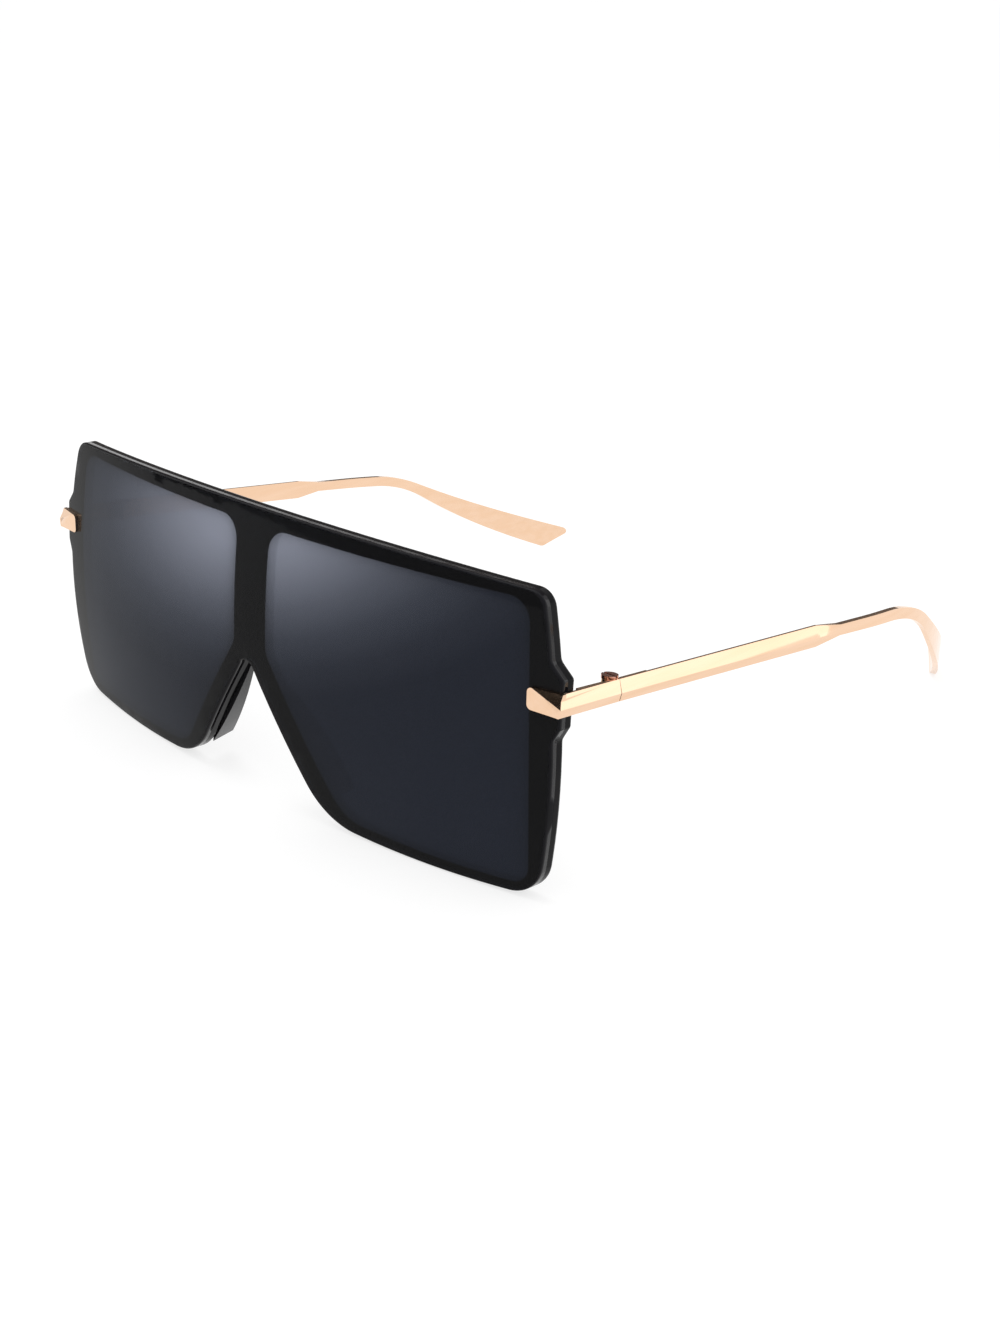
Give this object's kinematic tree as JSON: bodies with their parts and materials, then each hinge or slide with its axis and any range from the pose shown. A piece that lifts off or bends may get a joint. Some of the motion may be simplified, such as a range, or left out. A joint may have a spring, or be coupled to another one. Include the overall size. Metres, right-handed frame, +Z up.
{
  "type": "sunglasses",
  "caption": "Oversized flat-top shield sunglasses: a one-piece tinted lens on a black frame, with nose pads and folding slim metal arms that curve down to paddle tips.",
  "frame": {"origin": "on the surface the open sunglasses stand on, under the middle of their box", "axes": "+Z up, -Y out of the front of the lens, +Y back along the arms, +X to the wearer's left"},
  "size_m": [0.1564, 0.146, 0.0575],
  "materials": {
    "tinted_lens": "dark smoke tint, polished",
    "black_frame": "polished black",
    "nose_pads": "polished black",
    "rose_gold": "polished light rose gold plate",
    "hinge_metal": "satin gold plate",
    "copper_screw": "copper-coloured, satin"
  },
  "bodies": {
    "front": {"shield_lens": "tinted_lens", "front_frame": "black_frame", "nose_pad_left": "nose_pads", "nose_pad_right": "nose_pads", "endpiece_left": "rose_gold", "endpiece_right": "rose_gold", "endpiece_nuts_left": "hinge_metal", "endpiece_nuts_right": "hinge_metal", "hinge_front_left": "hinge_metal", "hinge_front_right": "hinge_metal", "hinge_screw_left": "copper_screw", "hinge_screw_right": "copper_screw"},
    "left_arm": {"arm_left": "rose_gold", "hinge_arm_left": "hinge_metal"},
    "right_arm": {"arm_right": "rose_gold", "hinge_arm_right": "hinge_metal"}
  },
  "joints": [
    {"name": "left_arm_fold", "type": "hinge", "parent": "front", "child": "left_arm", "pos_m": [0.07248, -0.05053, 0.03657], "axis": [0, 0.1149, 0.9934], "range_deg": [0, 87]},
    {"name": "right_arm_fold", "type": "hinge", "parent": "front", "child": "right_arm", "pos_m": [-0.07248, -0.05053, 0.03657], "axis": [0, -0.1149, -0.9934], "range_deg": [0, 82]}
  ]
}
